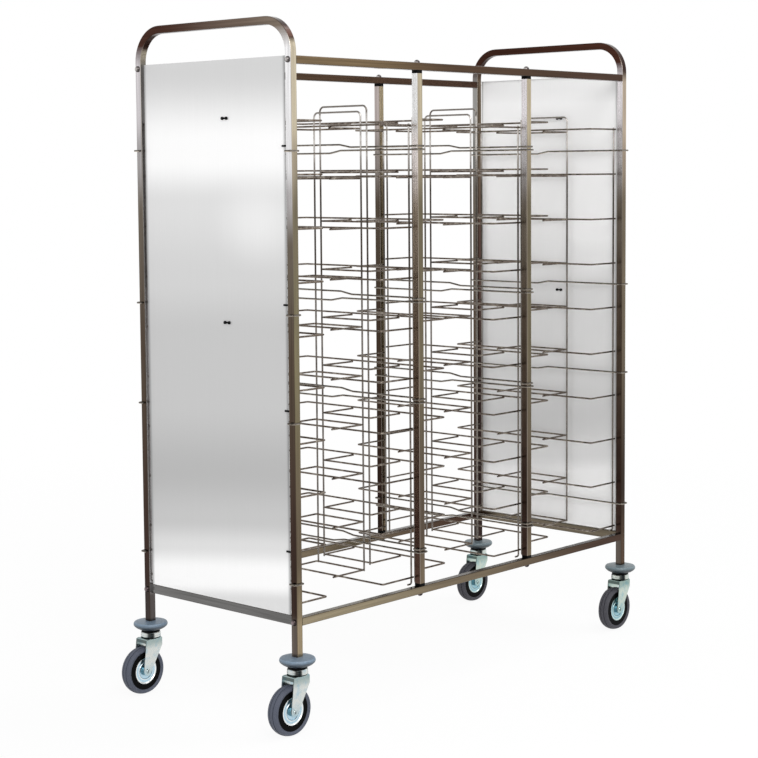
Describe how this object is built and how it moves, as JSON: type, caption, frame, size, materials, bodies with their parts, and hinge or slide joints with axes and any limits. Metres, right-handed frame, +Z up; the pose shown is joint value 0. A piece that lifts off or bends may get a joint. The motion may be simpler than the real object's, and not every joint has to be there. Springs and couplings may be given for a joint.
{
  "type": "gastronorm tray trolley",
  "caption": "Tall tray trolley of square steel tube with open bays of wire tray runners between two sheet ends, push handles above the ends and swivel casters under the posts.",
  "frame": {"origin": "on the floor, under the middle of the whole trolley with its casters trailing towards -X", "axes": "+X along the length, +Y towards the back, so that both long sides with the open bays face -Y and +Y, +Z up"},
  "size_m": [1.5074, 0.6398, 1.747],
  "materials": {
    "tube_steel": "polished",
    "sheet_steel": "satin",
    "wire_steel": "bright drawn",
    "polished_fixings": "polished",
    "zinc": "bright zinc plate",
    "black_plastic": "matte",
    "bumper_grey": "satin",
    "grey_tyre": "matte"
  },
  "bodies": {
    "frame": {"bottom_rail_back": "tube_steel", "bottom_rail_front": "tube_steel", "bumpers": "bumper_grey", "end_cross_tube_left": "tube_steel", "end_cross_tube_right": "tube_steel", "end_frame_left": "tube_steel", "end_frame_right": "tube_steel", "end_panel_left": "sheet_steel", "end_panel_right": "sheet_steel", "foot_plugs": "black_plastic", "frame_bolts": "polished_fixings", "head_seals": "black_plastic", "mid_post_1_back": "tube_steel", "mid_post_1_front": "tube_steel", "mid_post_2_back": "tube_steel", "mid_post_2_front": "tube_steel", "panel_clips": "black_plastic", "rack_bay_1_left_rods": "wire_steel", "rack_bay_1_left_shelves": "wire_steel", "rack_bay_1_left_uprights": "wire_steel", "rack_bay_1_right_rods": "wire_steel", "rack_bay_1_right_shelves": "wire_steel", "rack_bay_1_right_uprights": "wire_steel", "rack_bay_2_left_rods": "wire_steel", "rack_bay_2_left_shelves": "wire_steel", "rack_bay_2_left_uprights": "wire_steel", "rack_bay_2_right_rods": "wire_steel", "rack_bay_2_right_shelves": "wire_steel", "rack_bay_2_right_uprights": "wire_steel", "rack_bay_3_left_rods": "wire_steel", "rack_bay_3_left_shelves": "wire_steel", "rack_bay_3_left_uprights": "wire_steel", "rack_bay_3_right_rods": "wire_steel", "rack_bay_3_right_shelves": "wire_steel", "rack_bay_3_right_uprights": "wire_steel", "rail_plugs": "black_plastic", "swivel_heads": "zinc", "top_rail_back": "tube_steel", "top_rail_front": "tube_steel", "tube_caps": "black_plastic"},
    "caster_front_left": {"fork_front_left": "zinc", "axle_front_left": "zinc"},
    "wheel_front_left": {"rim_front_left": "black_plastic", "tyre_front_left": "grey_tyre", "wheel_discs_front_left": "zinc"},
    "caster_front_right": {"fork_front_right": "zinc", "axle_front_right": "zinc"},
    "wheel_front_right": {"rim_front_right": "black_plastic", "tyre_front_right": "grey_tyre", "wheel_discs_front_right": "zinc"},
    "caster_back_left": {"fork_back_left": "zinc", "axle_back_left": "zinc"},
    "wheel_back_left": {"rim_back_left": "black_plastic", "tyre_back_left": "grey_tyre", "wheel_discs_back_left": "zinc"},
    "caster_back_right": {"fork_back_right": "zinc", "axle_back_right": "zinc"},
    "wheel_back_right": {"rim_back_right": "black_plastic", "tyre_back_right": "grey_tyre", "wheel_discs_back_right": "zinc"}
  },
  "joints": [
    {"name": "swivel_front_left", "type": "hinge", "parent": "frame", "child": "caster_front_left", "pos_m": [-0.66125, -0.275, 0.147], "axis": [0, 0, 1], "continuous": true},
    {"name": "roll_front_left", "type": "hinge", "parent": "caster_front_left", "child": "wheel_front_left", "pos_m": [-0.69125, -0.275, 0.0625], "axis": [0, 1, 0], "continuous": true},
    {"name": "swivel_front_right", "type": "hinge", "parent": "frame", "child": "caster_front_right", "pos_m": [0.70875, -0.275, 0.147], "axis": [0, 0, 1], "continuous": true},
    {"name": "roll_front_right", "type": "hinge", "parent": "caster_front_right", "child": "wheel_front_right", "pos_m": [0.67875, -0.275, 0.0625], "axis": [0, 1, 0], "continuous": true},
    {"name": "swivel_back_left", "type": "hinge", "parent": "frame", "child": "caster_back_left", "pos_m": [-0.66125, 0.275, 0.147], "axis": [0, 0, 1], "continuous": true},
    {"name": "roll_back_left", "type": "hinge", "parent": "caster_back_left", "child": "wheel_back_left", "pos_m": [-0.69125, 0.275, 0.0625], "axis": [0, 1, 0], "continuous": true},
    {"name": "swivel_back_right", "type": "hinge", "parent": "frame", "child": "caster_back_right", "pos_m": [0.70875, 0.275, 0.147], "axis": [0, 0, 1], "continuous": true},
    {"name": "roll_back_right", "type": "hinge", "parent": "caster_back_right", "child": "wheel_back_right", "pos_m": [0.67875, 0.275, 0.0625], "axis": [0, 1, 0], "continuous": true}
  ]
}
